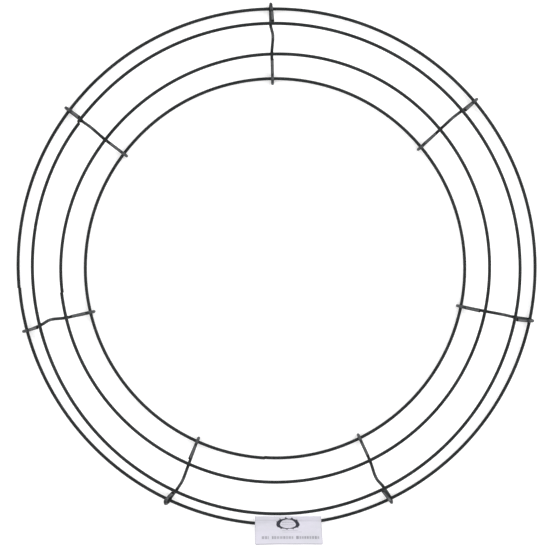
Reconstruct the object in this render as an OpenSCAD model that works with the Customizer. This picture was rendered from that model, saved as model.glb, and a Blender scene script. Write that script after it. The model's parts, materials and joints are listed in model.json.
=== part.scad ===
// Wire wreath frame. Four rings of round wire are carried by seven cross wires (ties). Each tie is bent up to a low
// ridge and hooked round the outer and the inner ring; the two upper rings are welded on top of its legs. A paper tag
// is folded round the outer ring. The frame lies on its hooks: Z = 0 is the surface it lies on, the ridge is up, and
// the origin is the centre of the inner ring. Millimetres.

/* [Rings] */
// Outside diameter of the outer ring, a nominal 14 inch frame
outer_d = 355.6; // [352:0.1:358]
// Diameter of the ring wire
ring_wire = 2.2; // [1.9:0.05:2.3]
// Centreline radius of the upper outer ring
upper_outer_r = 164.1; // [163:0.1:165]
// Centreline radius of the upper inner ring
upper_inner_r = 143.8; // [142.5:0.1:144.5]
// Centreline radius of the inner ring
inner_r = 129.9; // [129:0.1:131]
// Height of the two upper rings' centrelines above the table
upper_z = 16; // [14:0.1:18]
// How far the outer ring sits off centre to the right
outer_shift_x = 1.1; // [0:0.1:1.5]
// How far the outer ring sits off centre towards the top
outer_shift_y = 1.4; // [0:0.1:1.5]
// How far the upper outer ring sits off centre to the right
upper_outer_shift_x = 0.7; // [0:0.1:1]
// How far the upper inner ring sits off centre to the right
upper_inner_shift_x = 0.4; // [0:0.1:1]

/* [Ties] */
// Diameter of the tie wire
tie_wire = 2.1; // [1.8:0.05:2.2]
// Slope of the legs beside the ridge
leg_angle = 45.5; // [42:0.5:48]
// How far a leg's foot lies inside the ring that its hook holds
foot_in = 1.8; // [1.6:0.1:2.2]
// Gap between an outer tail's end and the upper outer ring's centreline, across the frame
outer_tail_gap = 2.4; // [1.9:0.1:4]
// Gap between an inner tail's end and the upper inner ring's centreline, across the frame
inner_tail_gap = 2.8; // [2.7:0.1:5]

/* [Tag] */
// Width of the tag along the ring
tag_w = 45; // [40:0.5:50]
// Distance of the tag's fold from the ring wire, on the inner side
tag_in = 5; // [4:0.1:6]
// Distance of the tag's free edge from the ring wire, on the outer side
tag_out = 15.3; // [12:0.1:16]
// Place of the tag's middle, to the right of the outer ring's centre
tag_x = 8; // [0:0.5:12]
// How far the tag's right edge slants out towards its free edge
tag_skew = 1.4; // [0:0.1:2]
// Thickness of one leaf of the paper
leaf = 0.25; // [0.2:0.01:0.3]
// Droop of the tag's free edge towards the table
tag_droop = 9.3; // [5:0.1:9.5]

/* [Hidden] */
$fn = 48;
TIE_SIDES = 10;
ARC_STEPS = 8;
BEND_STEPS = 4;

ring_rad = ring_wire / 2;
tie_rad = tie_wire / 2;
outer_r = outer_d / 2 - ring_rad;
outer_shift = [outer_shift_x, outer_shift_y];
upper_outer_shift = [upper_outer_shift_x, 0];
upper_inner_shift = [upper_inner_shift_x, 0];

wrap = ring_rad + tie_rad + 0.02;      // hook centreline to the centre of the ring it holds
low_ring_z = tie_rad + wrap;           // height of the outer and the inner ring
weld = ring_rad + tie_rad - 0.1;       // upper ring centre to leg centreline: the weld sinks in a little
weld_z = upper_z - weld * cos(leg_angle);
weld_in = weld * sin(leg_angle);       // a leg's weld lies this far towards the ridge from its ring
foot_bend = 2;
weld_bend = 3;
ridge_bend = 4.5;
tail_bend = 1.2;
tail_air = 0.12;                       // air between a tail and the leg it lies on

// Each tie as it was bent by hand. First its direction round the frame, in degrees. Then how far its leg lies to the
// left of that line (counter-clockwise) at the inner hook, inner weld, ridge, outer weld and outer hook. Then, for its
// outer and its inner hook, the straight run past the middle of the ring that the hook holds, and how far the tail lies
// to the left at its end and on top of the hook.
TOP = [90.8, [-0.1, 0.2, -1, 0.7, 0.7], [1.15, -0.9, 0.1], [1.25, -0.1, -0.1]];
UPPER_RIGHT = [40, [-0.7, 0.2, 0.7, 0.4, 0], [0, -0.9, -0.2], [0.4, -0.1, -0.6]];
RIGHT = [348.2, [0.6, 0.6, 0.8, 0.7, 1.4], [0, -0.7, 0.5], [0.4, 0, 0.4]];
LOWER_RIGHT = [295.5, [2.3, 1.9, 0.3, 2.5, 3.7], [0.55, 0.8, 2.7], [0.4, 2.1, 2.3]];
LOWER_LEFT = [245, [1.8, 3.2, 4.1, 3.1, 1.7], [1.1, 1.5, -0.9], [0.4, 2.1, 1.7]];
LEFT = [193.3, [0.4, 0.1, -1.3, 0.8, 2.3], [0.2, 2.1, 2.5], [0.4, 0, 0.1]];
UPPER_LEFT = [143, [-0.3, -0.3, -1.1, -0.9, -1.3], [0.8, -1.9, -1.8], [0.4, -0.3, -0.3]];

// The tag's hinge line is the chord of the ring wire inside the tag, moved out by half the wire's bulge past it.
tag_left = tag_x - tag_w / 2;
tag_right = tag_x + tag_w / 2;
wire_left = -sqrt(pow(outer_r, 2) - pow(tag_left, 2));
wire_right = -sqrt(pow(outer_r, 2) - pow(tag_right, 2));
chord_turn = atan2(wire_right - wire_left, tag_w);
bulge = outer_r - sqrt(pow(outer_r, 2) - pow(tag_w / (2 * cos(chord_turn)), 2));
hinge = [outer_shift_x + tag_x, outer_shift_y + (wire_left + wire_right) / 2 - bulge / 2, low_ring_z];
sleeve_bore = ring_rad + bulge / 2 + 0.18;
sleeve_rad = sleeve_bore + leaf;
glue_t = 0.1;
tag_t = 2 * leaf + glue_t;
glue_in = sleeve_rad + 1;
corner_r = 1;

function mix(a, b, t) = a + (b - a) * t;

// Points of a polyline whose corners are rounded. Each item of corners is [point, cut]: the corner is replaced by a
// curve that starts and ends at the distance cut from it.
function toward(a, b, d) = a + (b - a) * d / norm(b - a);
function bend(a, b, c, cut) = [
    for (k = [0 : BEND_STEPS])
        let (t = k / BEND_STEPS, p = toward(b, a, cut), q = toward(b, c, cut))
            mix(mix(p, b, t), mix(b, q, t), t)
];
function rounded(corners) = [
    for (k = [0 : len(corners) - 1])
        each corners[k][1] == 0
            ? [corners[k][0]]
            : bend(corners[k - 1][0], corners[k][0], corners[k + 1][0], corners[k][1])
];

// Height of a tail over its leg when their sides are this far apart: the two wires just don't touch.
function lift(apart, slope) = (sqrt(max(0, pow(tie_wire, 2) - pow(apart, 2))) + tail_air) / cos(slope);

// One end of a tie, from the tip of its tail round the hook to the foot of its leg, as corners [across, side, up].
// out is 1 at the outer ring and -1 at the inner ring, which lies at ring_at; the leg is welded at weld_at.
function tie_end(out, ring_at, weld_at, tail_tip, hook_side, weld_side, hook) =
    let (
        foot = ring_at - out * foot_in,
        slope = atan2(weld_z - tie_rad, out * (foot - weld_at)),
        leg_side = function (across) mix(hook_side, weld_side, (foot - across) / (foot - weld_at)),
        reach = hook[0],
        tip_side = hook[1],
        top_side = hook[2],
        turn_side = mix(tip_side, top_side, 0.5),
        top = tie_rad + 2 * wrap,
        tip_lift = lift(tip_side - leg_side(tail_tip), slope),
        turn_lift = lift(turn_side - leg_side(foot - out * tie_wire), slope),
        turn_at = foot - out * (top - tie_rad - turn_lift) / tan(slope),
        tip_z = tie_rad + out * (foot - tail_tip) * tan(slope) + tip_lift
    )
    concat(
        [[[tail_tip, tip_side, tip_z], 0], [[turn_at, turn_side, top], tail_bend]],
        [for (k = [0 : ARC_STEPS])
            let (a = 90 - 180 * k / ARC_STEPS)
                [[ring_at + out * (reach + wrap * cos(a)), mix(top_side, hook_side, k / ARC_STEPS),
                  low_ring_z + wrap * sin(a)], 0]],
        [[[foot, hook_side, tie_rad], foot_bend]]
    );

function reversed(list) = [for (k = [len(list) - 1 : -1 : 0]) list[k]];

function tie_path(tie) =
    let (
        way = [cos(tie[0]), sin(tie[0])],
        side = tie[1],
        upper_outer_at = upper_outer_r + upper_outer_shift * way,
        upper_inner_at = upper_inner_r + upper_inner_shift * way,
        outer_weld = upper_outer_at - weld_in,
        inner_weld = upper_inner_at + weld_in,
        ridge_z = weld_z + (outer_weld - inner_weld) / 2 * tan(leg_angle),
        outer_tip = upper_outer_at + outer_tail_gap,
        inner_tip = upper_inner_at - inner_tail_gap
    )
    rounded(concat(
        tie_end(1, outer_r + outer_shift * way, outer_weld, outer_tip, side[4], side[3], tie[2]),
        [[[outer_weld, side[3], weld_z], weld_bend]],
        [[[(outer_weld + inner_weld) / 2, side[2], ridge_z], ridge_bend]],
        [[[inner_weld, side[1], weld_z], weld_bend]],
        reversed(tie_end(-1, inner_r, inner_weld, inner_tip, side[0], side[1], tie[3]))
    ));

// A round wire swept along path, whose points are [across, side, up].
module wire(path, rad) {
    last = len(path) - 1;
    rings = [
        for (k = [0 : last])
            let (
                along = path[min(k + 1, last)] - path[max(k - 1, 0)],
                u = cross([0, 1, 0], along) / norm(cross([0, 1, 0], along)),
                v = cross(along, u) / norm(along)
            )
            for (s = [0 : TIE_SIDES - 1])
                path[k] + rad * (cos(360 * s / TIE_SIDES) * u + sin(360 * s / TIE_SIDES) * v)
    ];
    walls = [
        for (k = [0 : last - 1], s = [0 : TIE_SIDES - 1])
            let (a = k * TIE_SIDES + s, b = k * TIE_SIDES + (s + 1) % TIE_SIDES)
                [a, a + TIE_SIDES, b + TIE_SIDES, b]
    ];
    ends = [
        [for (s = [0 : TIE_SIDES - 1]) s],
        [for (s = [TIE_SIDES - 1 : -1 : 0]) last * TIE_SIDES + s]
    ];
    polyhedron(points = rings, faces = concat(walls, ends), convexity = 6);
}

module ring(rad, z, shift = [0, 0]) {
    color("darkslategray")
        translate([shift.x, shift.y, z])
            rotate_extrude()
                translate([rad, 0])
                    circle(r = ring_rad);
}

module tie(spec) {
    color("darkslategray")
        rotate([0, 0, spec[0]])
            wire(tie_path(spec), tie_rad);
}

// Places the tag's own frame, in which the hinge line is the X axis and the free edge is towards -Y.
module at_hinge() {
    translate(hinge)
        rotate([0, 0, chord_turn])
            rotate([tag_droop, 0, 0])
                children();
}

// The leaves' outline. It stands square to the frame, so it is turned back from the hinge line.
module leaf_outline(inset = 0) {
    rotate(-chord_turn)
        polygon([
            [-tag_w / 2 + inset, tag_in - inset],
            [-tag_w / 2 + inset, -tag_out + inset],
            [tag_w / 2 + tag_skew - inset, -tag_out + inset],
            [tag_w / 2 - inset, tag_in - inset],
        ]);
}

// What is cut from a free corner of the leaves to round it, at centre: side is -1 or 1, and lean is its edge's slant.
module corner_waste(centre, side, lean) {
    edge = side * [cos(lean), sin(lean)] * 2 * corner_r;
    free = [0, -2 * corner_r];
    translate(centre)
        difference() {
            polygon([[0, 0], edge, edge + free, free]);
            circle(r = corner_r);
        }
}

module rounded_outline() {
    skew_angle = atan2(tag_skew, tag_in + tag_out);
    centre_y = -tag_out + corner_r;
    edge_x = tag_w / 2 + tag_skew * (tag_in - centre_y) / (tag_in + tag_out);
    difference() {
        leaf_outline();
        rotate(-chord_turn) {
            corner_waste([-tag_w / 2 + corner_r, centre_y], -1, 0);
            corner_waste([edge_x - corner_r / cos(skew_angle), centre_y], 1, skew_angle);
        }
    }
}

module tag() {
    color("lavender")
        at_hinge()
            difference() {
                union() {
                    translate([0, 0, -tag_t / 2])
                        linear_extrude(tag_t)
                            rounded_outline();
                    intersection() {
                        rotate([0, 90, 0])
                            cylinder(r = sleeve_rad, h = 2 * tag_w, center = true);
                        translate([0, 0, -sleeve_rad - 1])
                            linear_extrude(2 * sleeve_rad + 2)
                                leaf_outline();
                    }
                }
                rotate([0, 90, 0])
                    cylinder(r = sleeve_bore, h = 2 * tag_w, center = true);
                translate([-tag_w, -2 * tag_out, -glue_t / 2])
                    cube([2 * tag_w, 2 * tag_out, glue_t]);
            }
}

module tag_glue() {
    color("ivory")
        at_hinge()
            translate([0, 0, -glue_t / 2])
                linear_extrude(glue_t)
                    intersection() {
                        leaf_outline(inset = 1);
                        translate([-tag_w, -tag_w - glue_in])
                            square([2 * tag_w, tag_w]);
                    }
}

ring(outer_r, low_ring_z, outer_shift);  // outer_ring
ring(upper_outer_r, upper_z, upper_outer_shift);  // upper_outer_ring
ring(upper_inner_r, upper_z, upper_inner_shift);  // upper_inner_ring
ring(inner_r, low_ring_z);  // inner_ring
tie(TOP);  // tie_top
tie(UPPER_RIGHT);  // tie_upper_right
tie(RIGHT);  // tie_right
tie(LOWER_RIGHT);  // tie_lower_right
tie(LOWER_LEFT);  // tie_lower_left
tie(LEFT);  // tie_left
tie(UPPER_LEFT);  // tie_upper_left
tag();
tag_glue();
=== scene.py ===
"""Looks of the wire wreath frame: wires, welds, cut ends and the folded paper tag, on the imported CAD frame."""

import json
import math

import bpy
import numpy as np
from mathutils import Matrix, Vector


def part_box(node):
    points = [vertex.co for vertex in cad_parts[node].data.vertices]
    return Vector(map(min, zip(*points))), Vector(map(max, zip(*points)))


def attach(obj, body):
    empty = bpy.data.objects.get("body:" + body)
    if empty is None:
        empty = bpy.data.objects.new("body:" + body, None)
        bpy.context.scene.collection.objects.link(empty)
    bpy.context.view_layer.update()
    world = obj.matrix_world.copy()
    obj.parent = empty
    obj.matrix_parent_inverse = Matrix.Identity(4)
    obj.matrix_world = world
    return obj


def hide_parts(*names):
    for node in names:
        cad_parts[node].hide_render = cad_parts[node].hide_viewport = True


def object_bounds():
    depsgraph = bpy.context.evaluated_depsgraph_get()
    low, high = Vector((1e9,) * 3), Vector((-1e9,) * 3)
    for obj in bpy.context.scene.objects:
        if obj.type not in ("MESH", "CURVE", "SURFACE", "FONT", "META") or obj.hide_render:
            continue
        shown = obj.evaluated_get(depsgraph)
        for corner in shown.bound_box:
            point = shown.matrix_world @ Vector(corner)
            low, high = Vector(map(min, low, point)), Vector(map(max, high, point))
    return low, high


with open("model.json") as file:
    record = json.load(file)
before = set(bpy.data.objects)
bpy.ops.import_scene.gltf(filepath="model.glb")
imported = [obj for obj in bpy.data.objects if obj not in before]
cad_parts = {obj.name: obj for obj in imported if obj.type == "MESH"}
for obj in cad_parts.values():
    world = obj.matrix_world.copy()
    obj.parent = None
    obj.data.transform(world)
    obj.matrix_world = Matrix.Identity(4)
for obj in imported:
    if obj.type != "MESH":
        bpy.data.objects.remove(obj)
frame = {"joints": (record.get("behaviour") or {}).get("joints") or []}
CAD_BOX = [list(corner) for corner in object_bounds()]

MM = 0.001
RNG = np.random.default_rng(14)

# --- Sizes, in millimetres, read from the CAD frame where it has them -----------------------------


def node_box(node):
    low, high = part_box(node)
    return np.array(low) / MM, np.array(high) / MM


def ring_facts(node):
    """Centre, centreline radius and wire radius of a CAD ring."""
    low, high = node_box(node)
    wire_rad = (high[2] - low[2]) / 2
    return {"centre": (low + high) / 2, "rad": (high[0] - low[0]) / 2 - wire_rad, "wire": wire_rad}


RINGS = {n: ring_facts(n) for n in ("outer_ring", "upper_outer_ring", "upper_inner_ring", "inner_ring")}

# Both wires are given by their radius.
RING_WIRE = RINGS["inner_ring"]["wire"]
TIE_WIRE = 1.05
HOOK_AIR = 0.02
TAIL_AIR = 0.12
WELD_SINK = 0.1

LEG_ANGLE = math.radians(45.5)
FOOT_IN = 1.8
OUTER_TAIL_GAP = 2.4
INNER_TAIL_GAP = 2.8
WRAP = RING_WIRE + TIE_WIRE + HOOK_AIR
WELD = RING_WIRE + TIE_WIRE - WELD_SINK
WELD_IN = WELD * math.sin(LEG_ANGLE)
WELD_Z = RINGS["upper_outer_ring"]["centre"][2] - WELD * math.cos(LEG_ANGLE)
FOOT_BEND, WELD_BEND, RIDGE_BEND, TAIL_BEND = 2, 3, 4.5, 1.2

# Each tie as part.scad bends it. First its direction in degrees. Then how far its leg lies counter-clockwise
# of that line at the inner hook, inner weld, ridge, outer weld and outer hook. Then, for its outer and its inner
# hook, the straight run past the ring, and how far the tail lies counter-clockwise at its end and on top of the
# hook.
TIES = {
    "tie_top": (90.8, (-0.1, 0.2, -1, 0.7, 0.7), (1.15, -0.9, 0.1), (1.25, -0.1, -0.1)),
    "tie_upper_right": (40, (-0.7, 0.2, 0.7, 0.4, 0), (0, -0.9, -0.2), (0.4, -0.1, -0.6)),
    "tie_right": (348.2, (0.6, 0.6, 0.8, 0.7, 1.4), (0, -0.7, 0.5), (0.4, 0, 0.4)),
    "tie_lower_right": (295.5, (2.3, 1.9, 0.3, 2.5, 3.7), (0.55, 0.8, 2.7), (0.4, 2.1, 2.3)),
    "tie_lower_left": (245, (1.8, 3.2, 4.1, 3.1, 1.7), (1.1, 1.5, -0.9), (0.4, 2.1, 1.7)),
    "tie_left": (193.3, (0.4, 0.1, -1.3, 0.8, 2.3), (0.2, 2.1, 2.5), (0.4, 0, 0.1)),
    "tie_upper_left": (143, (-0.3, -0.3, -1.1, -0.9, -1.3), (0.8, -1.9, -1.8), (0.4, -0.3, -0.3)),
}

# Where each ring's ends are butt-welded (degrees), and half of how far the ends miss each other (out, up).
BUTT_WELDS = {
    "outer_ring": (184.8, -0.22, 0.08),
    "upper_outer_ring": (143.6, -0.48, 0.1),
    "upper_inner_ring": (186.5, 0.25, -0.06),
    "inner_ring": (266.8, -0.18, 0.05),
}

# How each ring is out of round: waves as (count round the ring, height, direction of a crest in degrees).
OUT_OF_ROUND = {
    "outer_ring": [(2, 0.7, 146), (3, 0.2, 29)],
    "upper_outer_ring": [(2, 0.65, 113), (3, 0.25, 22)],
    "upper_inner_ring": [(2, 0.5, 38), (3, 0.35, 64)],
    "inner_ring": [],
}


def ring_swell(node, turn):
    """How far a ring that is out of round lies outside its circle."""
    return sum(
        high * np.cos(count * (turn - math.radians(crest))) for count, high, crest in OUT_OF_ROUND[node]
    )


def ring_reach(node, turn):
    """Distance from the frame's middle to a ring's centreline."""
    facts = RINGS[node]
    centre = facts["centre"][0] * math.cos(turn) + facts["centre"][1] * math.sin(turn)
    return facts["rad"] + centre + float(ring_swell(node, turn))


# --- Materials ------------------------------------------------------------------------------------


class Shader:
    """A short way to write a node material round one Principled shader."""

    def __init__(self, name):
        self.material = bpy.data.materials.new(name)
        self.material.use_nodes = True
        self.tree = self.material.node_tree
        self.out = self.tree.nodes["Principled BSDF"]
        self.place = self.node("ShaderNodeTexCoord").outputs["Object"]

    def node(self, kind, inputs=None, **settings):
        made = self.tree.nodes.new(kind)
        for key, value in settings.items():
            setattr(made, key, value)
        for key, value in (inputs or {}).items():
            self.set(made.inputs[key], value)
        return made

    def set(self, socket, value):
        if isinstance(value, bpy.types.NodeSocket):
            self.tree.links.new(value, socket)
        else:
            socket.default_value = value

    def principled(self, **values):
        for key, value in values.items():
            self.set(self.out.inputs[key.replace("_", " ")], value)

    def noise(self, scale, detail=2.0, rough=0.5, stretch=None):
        place = self.place
        if stretch:
            place = self.node("ShaderNodeMapping", {"Vector": place, "Scale": stretch}).outputs[0]
        return self.node(
            "ShaderNodeTexNoise", {"Vector": place, "Scale": scale, "Detail": detail, "Roughness": rough}
        ).outputs[0]

    def span(self, value, low, high, to_low=0.0, to_high=1.0):
        return self.node(
            "ShaderNodeMapRange",
            {"Value": value, "From Min": low, "From Max": high, "To Min": to_low, "To Max": to_high},
            interpolation_type="SMOOTHSTEP",
        ).outputs[0]

    def math(self, operation, a, b=0.0):
        made = self.node("ShaderNodeMath", operation=operation)
        self.set(made.inputs[0], a)
        self.set(made.inputs[1], b)
        return made.outputs[0]

    def colours(self, factor, a, b):
        made = self.node("ShaderNodeMix", data_type="RGBA")
        self.set(made.inputs["Factor"], factor)
        self.set(made.inputs[6], (*a, 1) if isinstance(a, tuple) else a)
        self.set(made.inputs[7], (*b, 1) if isinstance(b, tuple) else b)
        return made.outputs[2]

    def attribute(self, name):
        return self.node("ShaderNodeAttribute", attribute_name=name).outputs["Fac"]

    def bump(self, height, strength, distance, under=None):
        inputs = {"Height": height, "Strength": strength, "Distance": distance}
        if under:
            inputs["Normal"] = under
        return self.node("ShaderNodeBump", inputs).outputs[0]


def wire_paint(name, dark, pale):
    """Thin green-black paint on drawn wire: orange peel, blotches, dust, scorched welds, rubbed places and a
    painted highlight on the tails' upper faces.
    """
    s = Shader(name)
    blotch = s.noise(140, 4, 0.6)
    fine = s.noise(2600, 3, 0.6)
    dust = s.span(s.noise(900, 5, 0.75), 0.6, 0.74)
    scorch = s.attribute("scorch")
    # The wear attribute plus noise; on the tails' upper faces the attribute also holds a painted highlight.
    wear_and_highlight_level = s.math("ADD", s.attribute("wear"), s.math("MULTIPLY", s.noise(1500, 4, 0.7), 0.5))
    rubbed_and_highlight = s.span(wear_and_highlight_level, 0.38, 1.0)
    # Bare steel where this level is highest, the tails' painted highlight included.
    wear = s.span(wear_and_highlight_level, 0.9, 1.1)
    paint = s.colours(s.span(blotch, 0.35, 0.7), dark, pale)
    paint = s.colours(s.math("MULTIPLY", dust, 0.22), paint, (0.16, 0.17, 0.16))
    # Paler paint for rubbed places and for the painted highlight on the tails' upper faces.
    paint = s.colours(rubbed_and_highlight, paint, (0.16, 0.165, 0.17))
    paint = s.colours(s.math("MULTIPLY", scorch, 0.8), paint, (0.012, 0.011, 0.010))
    colour = s.colours(wear, paint, (0.30, 0.30, 0.31))
    rough = s.math("ADD", s.span(blotch, 0.3, 0.75, 0.34, 0.46), s.math("MULTIPLY", scorch, 0.3))
    peel = s.bump(fine, 0.35, 0.00006)
    lumps = s.bump(blotch, 0.2, 0.0004, peel)
    s.principled(Base_Color=colour, Metallic=wear, Roughness=rough, Normal=lumps)
    s.out.inputs["Specular IOR Level"].default_value = 0.16
    return s.material


def card_paper(name):
    """Smooth pale lilac card with flecks of fibre, painted shade along the crease and the edges, and print."""
    s = Shader(name)
    cloud = s.span(s.noise(45, 3, 0.55), 0.35, 0.65)
    fibre = s.noise(1400, 6, 0.7, stretch=(1.0, 0.35, 1.0))
    base = s.colours(cloud, (0.635, 0.630, 0.690), (0.680, 0.660, 0.745))
    base = s.colours(s.span(fibre, 0.56, 0.75, 0.0, 0.2), base, (0.57, 0.56, 0.62))
    # Painted shade along the crease by the fold.
    base = s.colours(s.math("MULTIPLY", s.attribute("crease"), 0.55), base, (0.46, 0.45, 0.50))
    # Painted shade along the leaves' free edges and sides.
    base = s.colours(s.math("MULTIPLY", s.attribute("edge"), 0.8), base, (0.33, 0.32, 0.36))
    printed = s.math("MULTIPLY", s.attribute("ink"), s.span(s.noise(2200, 3, 0.6), 0.2, 0.5, 0.82, 1.0))
    colour = s.colours(printed, base, (0.024, 0.025, 0.040))
    rough = s.span(fibre, 0.3, 0.7, 0.62, 0.78)
    s.principled(Base_Color=colour, Roughness=rough, Normal=s.bump(fibre, 0.25, 0.00005))
    s.out.inputs["Specular IOR Level"].default_value = 0.3
    return s.material


def dry_glue(name):
    s = Shader(name)
    cloud = s.noise(300, 4, 0.6)
    s.principled(
        Base_Color=s.colours(cloud, (0.72, 0.68, 0.58), (0.80, 0.77, 0.70)),
        Roughness=s.span(cloud, 0.3, 0.7, 0.25, 0.45),
        Normal=s.bump(s.noise(1200, 3, 0.6), 0.4, 0.00008),
    )
    return s.material


def studio_floor(name):
    s = Shader(name)
    s.principled(Base_Color=s.colours(s.noise(3, 2), (0.90, 0.90, 0.90), (0.92, 0.92, 0.92)))
    s.out.inputs["Roughness"].default_value = 0.9
    s.out.inputs["Specular IOR Level"].default_value = 0.1
    s.out.inputs["Emission Color"].default_value = (1, 1, 1, 1)
    s.out.inputs["Emission Strength"].default_value = 0.32
    return s.material


RING_PAINT = wire_paint("ring_paint", (0.012, 0.014, 0.0145), (0.022, 0.025, 0.026))
TIE_PAINT = wire_paint("tie_paint", (0.016, 0.018, 0.019), (0.029, 0.032, 0.034))
PAPER = card_paper("tag_paper")
GLUE = dry_glue("tag_adhesive")


# --- Mesh helpers ---------------------------------------------------------------------------------


def mesh_object(name, points, faces, material, attributes=None):
    """An object from points in millimetres, with one float attribute per entry of attributes."""
    data = bpy.data.meshes.new(name)
    data.from_pydata((np.asarray(points) * MM).tolist(), [], faces)
    for key, values in (attributes or {}).items():
        layer = data.attributes.new(key, "FLOAT", "POINT")
        layer.data.foreach_set("value", np.asarray(values, dtype=np.float32))
    data.materials.append(material)
    data.polygons.foreach_set("use_smooth", [True] * len(data.polygons))
    data.validate()
    data.update()
    made = bpy.data.objects.new(name, data)
    bpy.context.collection.objects.link(made)
    return made


def tube(centres, across, up, rad, closed):
    """Points and faces of a swept wire. across and up are unit vectors; rad has a radius for each point."""
    rows, sides = rad.shape
    angle = 2 * np.pi * np.arange(sides) / sides
    points = (
        centres[:, None]
        + (rad * np.cos(angle))[:, :, None] * across[:, None]
        + (rad * np.sin(angle))[:, :, None] * up[:, None]
    )
    faces = []
    for k in range(rows if closed else rows - 1):
        here, there = k * sides, ((k + 1) % rows) * sides
        for s in range(sides):
            after = (s + 1) % sides
            faces.append((here + s, here + after, there + after, there + s))
    if not closed:
        faces.append(tuple(range(sides))[::-1])
        faces.append(tuple((rows - 1) * sides + s for s in range(sides)))
    return points.reshape(-1, 3), faces


def bell(distance, width):
    return np.exp(-((distance / width) ** 2))


def about_z(turn):
    """Turns row vectors by an angle about the upright axis."""
    return np.array([[math.cos(turn), math.sin(turn), 0], [-math.sin(turn), math.cos(turn), 0], [0, 0, 1]])


BEAD_ROWS, BEAD_SIDES = 11, 16
BEAD_WAVE_COUNT = 40
BEAD_UNEVEN = 0.035


def lump(centre, axes, sizes, seed):
    """A small uneven bead of weld metal."""
    rng = np.random.default_rng(seed)
    rows, sides = BEAD_ROWS, BEAD_SIDES
    waves = rng.normal(0, 0.05, (3, 3))
    points, faces = [], []
    for k in range(rows):
        tilt = math.pi * k / (rows - 1)
        for s in range(sides):
            turn = 2 * math.pi * s / sides
            way = np.array([math.sin(tilt) * math.cos(turn), math.sin(tilt) * math.sin(turn), math.cos(tilt)])
            swell = 1 + float(np.sin(way @ waves * BEAD_WAVE_COUNT).sum()) * BEAD_UNEVEN
            points.append(centre + (way * sizes * swell) @ axes)
    for k in range(rows - 1):
        for s in range(sides):
            after = (s + 1) % sides
            here, there = k * sides, (k + 1) * sides
            faces.append((here + s, here + after, there + after, there + s))
    return np.array(points), faces


def joined(parts):
    """Several (points, faces, attributes) as one."""
    points, faces, attributes, start = [], [], {}, 0
    for part_points, part_faces, part_attributes in parts:
        points.append(part_points)
        faces += [tuple(start + i for i in face) for face in part_faces]
        for key, values in part_attributes.items():
            attributes.setdefault(key, []).append(values)
        start += len(part_points)
    return np.concatenate(points), faces, {key: np.concatenate(values) for key, values in attributes.items()}


# --- Rings ----------------------------------------------------------------------------------------

RING_SIDES = 20
# Degrees between a ring's sections, and between those at its butt weld, for WELD_ZONE degrees each way.
RING_STEP = 0.35
WELD_STEP = 0.02
WELD_ZONE = 0.7

# Slow waves of a ring's radius: counts round the ring, and height.
WOBBLE_COUNTS = (5, 7, 9, 13)
WOBBLE = 0.05
# A butt weld, along the wire: its step, the run over which the ends come back, the flash and the scorch.
STEP_WIDTH = 0.1
STEP_RUN = 12
FLASH_WIDTH = 0.2
SCORCH_WIDTH = 1.1
# The welder's clamps: distance from the weld, width and depth of the mark.
CLAMP_AT, CLAMP_WIDTH, CLAMP_DEPTH = 5.5, 1.3, 0.05

# A spot-weld bead: half its size across the leg, along it and out of it, and how far it reaches into the ring.
BEAD_SIZE = [1.2, 1.3, 0.62]
BEAD_SINK = 0.02
BEAD_SCORCH = 0.75
BEAD_SEED = 100


def ring_angles(weld_at):
    """Angles round a ring in degrees, close together at its butt weld."""
    coarse = np.arange(weld_at + WELD_ZONE, weld_at + 360 - WELD_ZONE, RING_STEP)
    close = np.arange(weld_at - WELD_ZONE, weld_at + WELD_ZONE - WELD_STEP / 2, WELD_STEP)
    return np.concatenate([coarse, close + 360])


def tie_weld_beads(node):
    """The beads where an upper ring is spot-welded to each tie's leg."""
    facts = RINGS[node]
    out = 1 if node == "upper_outer_ring" else -1
    beads = []
    for number, spec in enumerate(TIES.values()):
        turn = math.radians(spec[0])
        side = spec[1][3] if out > 0 else spec[1][1]
        normal = np.array([out * math.sin(LEG_ANGLE), 0, math.cos(LEG_ANGLE)])
        leg = np.array([-out * math.cos(LEG_ANGLE), 0, math.sin(LEG_ANGLE)])
        middle = np.array([ring_reach(node, turn), side, facts["centre"][2]]) - normal * (RING_WIRE - BEAD_SINK)
        axes = np.array([[0, 1, 0], leg, normal]) @ about_z(turn)
        sizes = np.array(BEAD_SIZE) * RNG.uniform(0.88, 1.12, 3)
        points, faces = lump(middle @ about_z(turn), axes, sizes, BEAD_SEED + number)
        marks = {"scorch": np.full(len(points), BEAD_SCORCH), "wear": np.zeros(len(points))}
        beads.append((points, faces, marks))
    return beads


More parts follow.
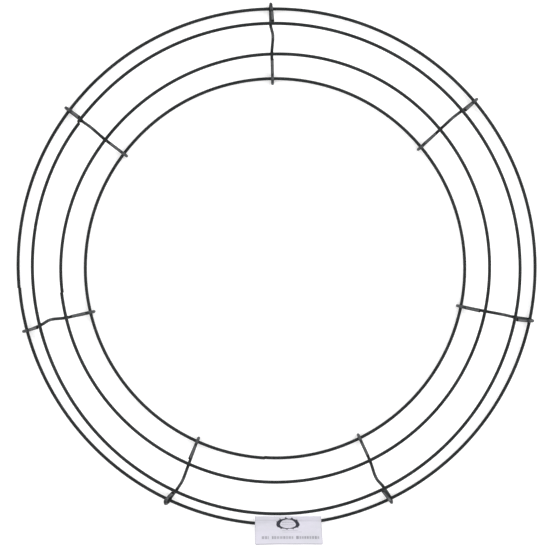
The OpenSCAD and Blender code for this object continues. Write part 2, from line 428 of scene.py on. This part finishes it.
def build_ring(node):
    facts = RINGS[node]
    weld_at, miss_out, miss_up = BUTT_WELDS[node]
    degrees = ring_angles(weld_at)
    turn = np.radians(degrees)
    along = np.radians((degrees - weld_at + 180) % 360 - 180) * facts["rad"]
    waves = sum(
        RNG.uniform(0.2, 1) / n * np.sin(n * turn + RNG.uniform(0, 2 * np.pi)) for n in WOBBLE_COUNTS
    )
    wobble = WOBBLE * waves - WOBBLE
    miss = np.tanh(along / STEP_WIDTH) * np.exp(-np.abs(along) / STEP_RUN)
    rad = facts["rad"] + ring_swell(node, turn) + wobble + miss_out * miss
    rise = miss_up * miss
    outward = np.stack([np.cos(turn), np.sin(turn), 0 * turn], 1)
    up = np.tile([0.0, 0.0, 1.0], (len(turn), 1))
    centres = facts["centre"] + outward * rad[:, None] + up * rise[:, None]
    around = 2 * np.pi * np.arange(RING_SIDES) / RING_SIDES
    flash_shape = 0.1 + 0.12 * np.cos(2 * around + 0.3) + 0.05 * np.cos(5 * around)
    flash = bell(along, FLASH_WIDTH)[:, None] * flash_shape
    upper_side = np.clip(np.sin(around), 0, 1) ** 2
    grip = bell(np.abs(along) - CLAMP_AT, CLAMP_WIDTH)[:, None] * -CLAMP_DEPTH * upper_side
    wire_rad = RING_WIRE + flash + grip
    points, faces = tube(centres, outward, up, wire_rad, closed=True)
    spread = np.ones(RING_SIDES)
    scorch = np.outer(bell(along, SCORCH_WIDTH), spread).ravel()
    wear = np.outer(0.28 * bell(along, 0.5) + 0.05, spread).ravel()
    parts = [(points, faces, {"scorch": scorch, "wear": wear})]
    if node.startswith("upper"):
        parts += tie_weld_beads(node)
    points, faces, attributes = joined(parts)
    made = mesh_object(node + "_wire", points, faces, RING_PAINT, attributes)
    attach(made, "frame")
    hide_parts(node)
    return made


# --- Ties -----------------------------------------------------------------------------------------

TIE_SIDES = 20
TIE_STEP = 0.28
SOFTEN = 0.45
# Length of a tie's end that counts as tail, for the painted highlight on its upper side.
TAIL_RUN = 11
# A sheared end: how far along it is pinched, how much flatter and wider it is there, and its rounded rim.
PINCH_RUN = 0.7
PINCH_FLAT, PINCH_WIDE = 0.16, 0.05
RIM_RUN = 0.16
RIM_CUT = 0.16
# The flat that the crimping jaws leave on top of a hook: half its length and its depth.
JAW_RUN = 1.5
JAW_DEPTH = 0.13


def toward(a, b, distance):
    return a + (b - a) * distance / np.linalg.norm(b - a)


def rounded(corners, steps=10):
    """Points of a polyline whose corners are rounded. Each item is (point, cut)."""
    points = []
    for k, (corner, cut) in enumerate(corners):
        if not cut:
            points.append(corner)
            continue
        start, end = toward(corner, corners[k - 1][0], cut), toward(corner, corners[k + 1][0], cut)
        for t in np.linspace(0, 1, steps + 1):
            points.append((1 - t) ** 2 * start + 2 * t * (1 - t) * corner + t**2 * end)
    return np.array(points)


def tie_end(out, ring_at, weld_at, tail_tip, hook_side, weld_side, hook, steps=24):
    """One end of a tie, from its tail round the hook to the foot of the leg, as corners (across, side, up)."""
    run, tip_side, top_side = hook
    turn_side = (tip_side + top_side) / 2
    foot = ring_at - out * FOOT_IN
    slope = math.atan2(WELD_Z - TIE_WIRE, out * (foot - weld_at))
    top = TIE_WIRE + 2 * WRAP

    def lift(across, side):
        """Height over the leg at which the tail just doesn't touch it."""
        leg_side = hook_side + (weld_side - hook_side) * (foot - across) / (foot - weld_at)
        beside = math.sqrt(max(0, (2 * TIE_WIRE) ** 2 - (side - leg_side) ** 2))
        return (beside + TAIL_AIR) / math.cos(slope)

    turn_at = foot - out * (top - TIE_WIRE - lift(foot - out * 2 * TIE_WIRE, turn_side)) / math.tan(slope)
    tip_z = TIE_WIRE + out * (foot - tail_tip) * math.tan(slope) + lift(tail_tip, tip_side)
    corners = [(np.array([tail_tip, tip_side, tip_z]), 0), (np.array([turn_at, turn_side, top]), TAIL_BEND)]
    for k in range(steps + 1):
        a = math.pi * (0.5 - k / steps)
        across = ring_at + out * (run + WRAP * math.cos(a))
        side = top_side + (hook_side - top_side) * k / steps
        corners.append((np.array([across, side, TIE_WIRE + WRAP + WRAP * math.sin(a)]), 0))
    corners.append((np.array([foot, hook_side, TIE_WIRE]), FOOT_BEND))
    return corners


def tie_path(spec):
    turn, side, outer_hook, inner_hook = math.radians(spec[0]), *spec[1:]
    outer_at, upper_outer_at, upper_inner_at, inner_at = (ring_reach(node, turn) for node in RINGS)
    outer_weld, inner_weld = upper_outer_at - WELD_IN, upper_inner_at + WELD_IN
    ridge_z = WELD_Z + (outer_weld - inner_weld) / 2 * math.tan(LEG_ANGLE)
    outer_tip, inner_tip = upper_outer_at + OUTER_TAIL_GAP, upper_inner_at - INNER_TAIL_GAP
    corners = tie_end(1, outer_at, outer_weld, outer_tip, side[4], side[3], outer_hook)
    corners.append((np.array([outer_weld, side[3], WELD_Z]), WELD_BEND))
    corners.append((np.array([(outer_weld + inner_weld) / 2, side[2], ridge_z]), RIDGE_BEND))
    corners.append((np.array([inner_weld, side[1], WELD_Z]), WELD_BEND))
    inner_end = tie_end(-1, inner_at, inner_weld, inner_tip, side[0], side[1], inner_hook)
    return rounded(corners + inner_end[::-1])


def evenly(path, step):
    length = np.concatenate([[0], np.cumsum(np.linalg.norm(np.diff(path, axis=0), axis=1))])
    places = np.linspace(0, length[-1], int(length[-1] / step) + 1)
    return np.stack([np.interp(places, length, path[:, axis]) for axis in range(3)], 1), places


def softened(path, width, step):
    """The path with its kinks eased over about width, its ends left in place."""
    reach = int(3 * width / step)
    weights = bell(np.arange(-reach, reach + 1) * step, width)
    weights /= weights.sum()
    lead = 2 * path[0] - path[reach:0:-1]
    trail = 2 * path[-1] - path[-2 : -reach - 2 : -1]
    padded = np.concatenate([lead, path, trail])
    return np.stack([np.convolve(padded[:, axis], weights, "valid") for axis in range(3)], 1)


def build_tie(node):
    spec = TIES[node]
    path, places = evenly(tie_path(spec), TIE_STEP)
    path = softened(path, SOFTEN, TIE_STEP)
    along = np.gradient(path, axis=0)
    along /= np.linalg.norm(along, axis=1)[:, None]
    across = np.cross(np.tile([0.0, 1.0, 0.0], (len(path), 1)), along)
    across /= np.linalg.norm(across, axis=1)[:, None]
    up = np.cross(along, across)
    around = 2 * np.pi * np.arange(TIE_SIDES) / TIE_SIDES

    from_end = np.minimum(places, places[-1] - places)
    pinch = bell(from_end, PINCH_RUN)[:, None]
    rad = TIE_WIRE * (1 - PINCH_FLAT * pinch * np.cos(around) ** 2 + PINCH_WIDE * pinch * np.sin(around) ** 2)
    rim = RIM_CUT * TIE_WIRE * bell(from_end, RIM_RUN)
    rad = rad - rim[:, None]

    turn = math.radians(spec[0])
    outer_at, upper_outer_at, upper_inner_at, inner_at = (ring_reach(ring, turn) for ring in RINGS)
    on_top = path[:, 2] > TIE_WIRE + 1.6 * WRAP
    near_outer = bell(path[:, 0] - outer_at, JAW_RUN)
    near_inner = bell(path[:, 0] - inner_at, JAW_RUN)
    jaws = np.where(on_top, near_outer + near_inner, 0)
    heading = np.abs(across[:, 2])
    upper_face = np.clip(np.cos(around)[None] * np.sign(across[:, 2])[:, None], 0, 1) ** 3
    rad = rad - JAW_DEPTH * (jaws * heading)[:, None] * upper_face

    points, faces = tube(path, across, up, rad, closed=False)
    points = points @ about_z(turn)

    tips = np.maximum(bell(path[:, 0] - path[:, 0].max(), 1.3), bell(path[:, 0] - path[:, 0].min(), 1.3))
    ridge = bell(path[:, 0] - (upper_outer_at + upper_inner_at) / 2, 2.2)
    outer_weld = bell(path[:, 0] - upper_outer_at + WELD_IN, 1.6)
    inner_weld = bell(path[:, 0] - upper_inner_at - WELD_IN, 1.6)
    welds = np.maximum(outer_weld, inner_weld)
    on_leg = path[:, 2] < WELD_Z + 2
    tail_highlight = np.where(from_end < TAIL_RUN, 1.0, 0.0)
    wear_here = 0.35 * tips + 0.3 * ridge + 0.3 * jaws + 0.06
    # On the tails' upper faces 0.4 is added to the wear attribute as a painted highlight.
    wear = np.outer(wear_here, np.ones(TIE_SIDES)) + 0.4 * tail_highlight[:, None] * upper_face
    scorch = np.outer(np.maximum(0.7 * welds * on_leg, bell(from_end, 0.3)), np.ones(TIE_SIDES))
    marks = {"scorch": scorch.ravel(), "wear": wear.ravel()}
    made = mesh_object(node + "_wire", points, faces, TIE_PAINT, marks)
    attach(made, "frame")
    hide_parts(node)
    return made


# --- Paper tag ------------------------------------------------------------------------------------

TAG_W, TAG_IN, TAG_OUT, TAG_SKEW = 45.0, 5.0, 15.3, 1.5
TAG_DROOP = math.radians(9.3)
LEAF = 0.25
GLUE_T = 0.08
# The film stays this far inside the leaves' edges, and starts this far out from the wire.
GLUE_IN, GLUE_FROM = 1.6, 6.4
FOLD_RAD = 0.2
CORNER_R = 1.0
# The back leaf is this much shorter at its free edge, and narrower by this much on the left and in all.
BACK_SHORT = 0.35
BACK_LEFT, BACK_NARROW = 0.25, 0.5
# The tag sits this far to the left of its CAD shape.
TAG_LEFT = 0.27
# Height of the front leaf's middle over the wire, from the glued part (left) to the crease by the fold (right).
SLEEVE = [(-7.2, 0.19), (-5.6, 0.30), (-4.2, 0.76), (-2.6, 1.82), (-1.1, 2.30), (0.3, 2.34), (1.2, 1.96),
          (1.8, 1.24), (2.3, 0.58), (2.8, 0.38)]
GLUED_TO = SLEEVE[0][0]
CREASE = 2.3
# Places across the front and the back leaf, and along the tag: many in front, so that the print is sharp.
FRONT_ROWS, BACK_ROWS = 130, 26
TAG_COLUMNS = 300
# The places are laid out over a coarse grid, with this share of them on the glued part.
GRID = 25
GLUED_SHARE = 0.42

SWING = next(joint for joint in frame["joints"] if joint["name"] == "tag_swing")
TURN = math.atan2(-SWING["axis"][1], -SWING["axis"][0])
HINGE = Matrix.Translation(SWING["pos_m"]) @ Matrix.Rotation(TURN, 4, "Z") @ Matrix.Rotation(TAG_DROOP, 4, "X")


def leaf_profile(level_x, back):
    """(y, z) of one leaf's middle from its free edge to the fold, in the hinge frame, at one place along it."""
    slant = level_x * math.sin(TURN)
    short = BACK_SHORT if back else 0
    from_side = min(level_x + TAG_W / 2, TAG_W / 2 - level_x)
    if from_side < CORNER_R:
        short += CORNER_R - math.sqrt(max(0, CORNER_R**2 - (CORNER_R - from_side) ** 2))
    free = -TAG_OUT + short - slant
    fold = TAG_IN - FOLD_RAD - LEAF / 2 - slant
    knots = [(free, 0.18)] + SLEEVE + [((SLEEVE[-1][0] + fold) / 2, 0.3), (fold, FOLD_RAD + 0.02)]
    ys, zs = np.array(knots).T
    grid = np.linspace(0, 1, GRID)
    grid_y = np.interp(grid, [0, GLUED_SHARE, 1], [free, GLUED_TO, fold])
    y = np.interp(np.linspace(0, 1, BACK_ROWS if back else FRONT_ROWS), grid, grid_y)
    return y, smooth_through(y, ys, zs)


def smooth_through(x, xs, ys):
    """A monotone cubic through the knots, so that the paper has no overshoot."""
    step = np.diff(xs)
    slope = np.diff(ys) / step
    product, total = slope[1:] * slope[:-1], slope[1:] + slope[:-1]
    inner = np.where(product > 0, 2 * product / (total + 1e-12), 0)
    tangent = np.concatenate([[slope[0]], inner, [slope[-1]]])
    k = np.clip(np.searchsorted(xs, x) - 1, 0, len(step) - 1)
    t = (x - xs[k]) / step[k]
    return (
        (2 * t**3 - 3 * t**2 + 1) * ys[k] + (t**3 - 2 * t**2 + t) * step[k] * tangent[k]
        + (3 * t**2 - 2 * t**3) * ys[k + 1] + (t**3 - t**2) * step[k] * tangent[k + 1]
    )


# Handling: how far out the paper stays flat, the run over which it lifts, and how high it curls and waves.
FLAT_TO, CURL_RUN = 5.5, 9
CURL, WAVE = 0.75, 0.12


def warp(level_x, y):
    """How far handling has lifted the paper: curled corners and one soft wave."""
    outer_part = np.clip((-y - FLAT_TO) / CURL_RUN, 0, 1)
    return outer_part**2 * (CURL * (2 * level_x / TAG_W) ** 2 + WAVE * np.sin(level_x / 4.6 + 0.8) + WAVE)


def ellipse_distance(x, y, centre, half):
    """About how far (x, y) is outside an ellipse, in millimetres."""
    scaled = np.hypot((x - centre[0]) / half[0], (y - centre[1]) / half[1])
    return (scaled - 1) * min(half)


def block(x, y, left, right, middle, height):
    """Coverage of one plain block of print."""
    inside = np.minimum(np.minimum(x - left, right - x), height / 2 - np.abs(y - middle))
    return np.clip(inside / SOFT_EDGE + 0.5, 0, 1)


# The oval wreath: its middle, half its width and height, half its band, and the band's swell at the sides.
ICON = (-0.2, 0.1)
ICON_HALF = (6.6, 3.1)
BAND, BAND_SWELL = 0.44, 0.16
SOFT_EDGE = 0.12
SPRIGS = 22
SPRIG_LONG, SPRIG_WIDE = 1.15, 0.36
# Rows of blocks that stand for lines of small print: left and right end, middle, height of a block, darkness.
PRINT_ROWS = [
    (-4.3, 3.9, 1.2, 0.6, 0.42),
    (-4.8, 4.4, 0.1, 0.6, 0.42),
    (-4.2, 3.7, -1.0, 0.6, 0.38),
    (-4.1, 6.4, -5.0, 0.7, 0.40),
    (-4.1, 9.0, -6.3, 0.5, 0.30),
    (-18.0, -13.4, -10.3, 2.2, 0.56),
    (-11.2, 3.6, -10.3, 2.2, 0.52),
    (5.0, 20.6, -10.3, 2.2, 0.56),
]


def print_row(x, y, row, rng):
    """Coverage of one line of print, as a row of plain blocks with no lettering."""
    left, right, middle, height, dark = row
    cover = np.zeros_like(x)
    while left < right:
        wide = height * rng.uniform(0.45, 0.8)
        tall = height * rng.uniform(0.82, 1.0)
        shade = dark * rng.uniform(0.7, 1.0)
        cover = np.maximum(cover, shade * block(x, y, left, min(left + wide, right), middle, tall))
        left += wide + height * 0.22
    return cover


def ink(x, y):
    """The print, as coverage from 0 to 1: an oval wreath of sprigs, and blocks in place of words."""
    swell = BAND_SWELL * np.cos(np.arctan2(y - ICON[1], x - ICON[0]) * 2)
    edge = np.abs(ellipse_distance(x, y, ICON, ICON_HALF))
    cover = np.clip((BAND + swell - edge) / SOFT_EDGE + 0.5, 0, 1)
    for k in range(SPRIGS):
        turn = 2 * math.pi * (k + 0.5) / SPRIGS
        at = (ICON[0] + ICON_HALF[0] * math.cos(turn), ICON[1] + ICON_HALF[1] * math.sin(turn))
        lean = turn + (1.0 if k % 2 else -0.6)
        local_x = (x - at[0]) * math.cos(lean) + (y - at[1]) * math.sin(lean)
        local_y = -(x - at[0]) * math.sin(lean) + (y - at[1]) * math.cos(lean)
        leafy = np.hypot((local_x - 0.5) / SPRIG_LONG, local_y / SPRIG_WIDE) - 1
        cover = np.maximum(cover, np.clip(-leafy * 3 + 0.5, 0, 1))
    rng = np.random.default_rng(7)
    for row in PRINT_ROWS:
        cover = np.maximum(cover, print_row(x, y, row, rng))
    return cover


FOLD_STEPS = 9
# Width of the painted shade along the tag's edges.
EDGE_SHADE_WIDTH = 0.3


def grid_faces(columns, rows):
    """Faces of a sheet whose points are listed column by column."""
    faces = []
    for k in range(columns - 1):
        for r in range(rows - 1):
            a, b = k * rows + r, (k + 1) * rows + r
            faces.append((a, b, b + 1, a + 1))
    return faces


def build_tag():
    columns = TAG_COLUMNS
    points, inks, edges, crease_shades = [], [], [], []
    for k in range(columns):
        level_x = -TAG_W / 2 + TAG_W * k / (columns - 1)
        front_y, front_z = leaf_profile(level_x, back=False)
        back_y, back_z = leaf_profile(level_x, back=True)
        turns = np.linspace(np.pi / 2, -np.pi / 2, FOLD_STEPS)[1:-1]
        fold_y = front_y[-1] + FOLD_RAD * np.cos(turns)
        fold_z = FOLD_RAD * np.sin(turns)
        y = np.concatenate([front_y, fold_y, back_y[::-1]])
        z = np.concatenate([front_z, fold_z, -back_z[::-1]])
        is_back = np.arange(len(y)) >= len(front_y) + len(fold_y)
        slant_out = TAG_SKEW * np.clip((TAG_IN - y) / (TAG_IN + TAG_OUT), 0, 1) * (k / columns)
        wide = level_x - TAG_LEFT + slant_out + np.where(is_back, BACK_LEFT - BACK_NARROW * k / columns, 0)
        x = (wide + y * math.sin(TURN)) / math.cos(TURN)
        lift = warp(level_x, y)
        points.append(np.stack([x, y, z + lift], 1))
        level_y = y + level_x * math.sin(TURN)
        in_front = np.arange(len(y)) < len(front_y)
        inks.append(np.where(in_front, ink(np.full(len(y), level_x), level_y), 0))
        # Painted shade along the crease, stronger towards the tag's left.
        crease_shade_strength = 0.75 - 0.25 * level_x / TAG_W * 2
        crease_shades.append(np.where(in_front, bell(level_y - CREASE, 0.35), 0) * crease_shade_strength)
        # Painted shade along the free edges and the sides.
        side = min(k, columns - 1 - k) * TAG_W / (columns - 1)
        near_free = np.minimum(np.abs(y - front_y[0]), np.abs(y - back_y[0]))
        edges.append(np.maximum(bell(near_free, EDGE_SHADE_WIDTH), bell(side, EDGE_SHADE_WIDTH)))
    faces = grid_faces(columns, len(points[0]))
    marks = {"ink": np.concatenate(inks), "edge": np.concatenate(edges), "crease": np.concatenate(crease_shades)}
    sheet = mesh_object("paper_tag", np.concatenate(points), faces, PAPER, marks)
    sheet.data.transform(HINGE)
    thick = sheet.modifiers.new("card", "SOLIDIFY")
    thick.thickness = LEAF * MM
    thick.offset = 0
    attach(sheet, "tag")
    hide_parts("tag")
    return sheet


def build_glue():
    """The dry film between the leaves, with an uneven outline."""
    columns, rows = 90, 24
    points = []
    for k in range(columns):
        level_x = -TAG_W / 2 + GLUE_IN + (TAG_W - 2 * GLUE_IN) * k / (columns - 1)
        near = -GLUE_FROM + 0.35 * math.sin(k * 0.31) + 0.2 * math.sin(k * 0.83 + 1)
        far = -TAG_OUT + GLUE_IN - level_x * math.sin(TURN) + 0.3 * math.sin(k * 0.23 + 2)
        y = np.linspace(near, far, rows)
        x = (level_x + y * math.sin(TURN)) / math.cos(TURN)
        points.append(np.stack([x, y, warp(level_x, y)], 1))
    faces = [face[::-1] for face in grid_faces(columns, rows)]
    film = mesh_object("tag_glue_film", np.concatenate(points), faces, GLUE)
    film.data.transform(HINGE)
    thick = film.modifiers.new("film", "SOLIDIFY")
    thick.thickness = GLUE_T * MM
    thick.offset = 0
    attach(film, "tag")
    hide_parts("tag_glue")
    return film


# --- Stage, light and camera ----------------------------------------------------------------------


def build_stage():
    bpy.ops.mesh.primitive_plane_add(size=6)
    floor = bpy.context.object
    floor.name = "floor"
    floor.data.materials.append(studio_floor("studio_floor"))


def build_world():
    """White studio surroundings, darker straight above so that the wires keep a dark top."""
    world = bpy.data.worlds.new("studio")
    world.use_nodes = True
    bpy.context.scene.world = world
    nodes, links = world.node_tree.nodes, world.node_tree.links
    place = nodes.new("ShaderNodeTexCoord")
    split = nodes.new("ShaderNodeSeparateXYZ")
    ramp = nodes.new("ShaderNodeMapRange")
    ramp.interpolation_type = "SMOOTHSTEP"
    ramp.inputs["From Min"].default_value = 0.15
    ramp.inputs["From Max"].default_value = 0.95
    ramp.inputs["To Min"].default_value = 1.25
    ramp.inputs["To Max"].default_value = 0.7
    links.new(place.outputs["Generated"], split.inputs[0])
    links.new(split.outputs["Z"], ramp.inputs["Value"])
    links.new(ramp.outputs[0], nodes["Background"].inputs["Strength"])
    nodes["Background"].inputs["Color"].default_value = (1, 1, 1, 1)


def area_light(name, place, target, size, watts):
    data = bpy.data.lights.new(name, "AREA")
    data.shape = "DISK"
    data.size = size
    data.energy = watts
    made = bpy.data.objects.new(name, data)
    made.location = place
    made.rotation_euler = (Vector(target) - Vector(place)).to_track_quat("-Z", "Y").to_euler()
    bpy.context.collection.objects.link(made)


# In metres: the camera's height over the outer ring, and how far the frame sits above the picture's middle.
CAMERA_HEIGHT = 0.64
ABOVE_MIDDLE = 0.001
# Height of the picture over the frame's own.
MARGIN = 1.012


def build_camera():
    low, high = (Vector(corner) for corner in CAD_BOX)
    ring_z = RINGS["outer_ring"]["centre"][2] * MM
    data = bpy.data.cameras.new("camera")
    data.sensor_width = 36
    data.lens = data.sensor_width * CAMERA_HEIGHT / ((high.y - low.y) * MARGIN)
    made = bpy.data.objects.new("camera", data)
    made.location = (0, (low.y + high.y) / 2 - ABOVE_MIDDLE, ring_z + CAMERA_HEIGHT)
    bpy.context.collection.objects.link(made)
    bpy.context.scene.camera = made


build_camera()
build_stage()
build_world()
area_light("key", (0.7, 0.35, 0.85), (0.1, 0.05, 0), 1.0, 5.2)
area_light("fill", (-1.1, -0.4, 1.0), (0, 0, 0), 1.4, 4)
bpy.context.scene.view_settings.view_transform = "Standard"

for ring_node in RINGS:
    build_ring(ring_node)
for tie_node in TIES:
    build_tie(tie_node)
build_tag()
build_glue()
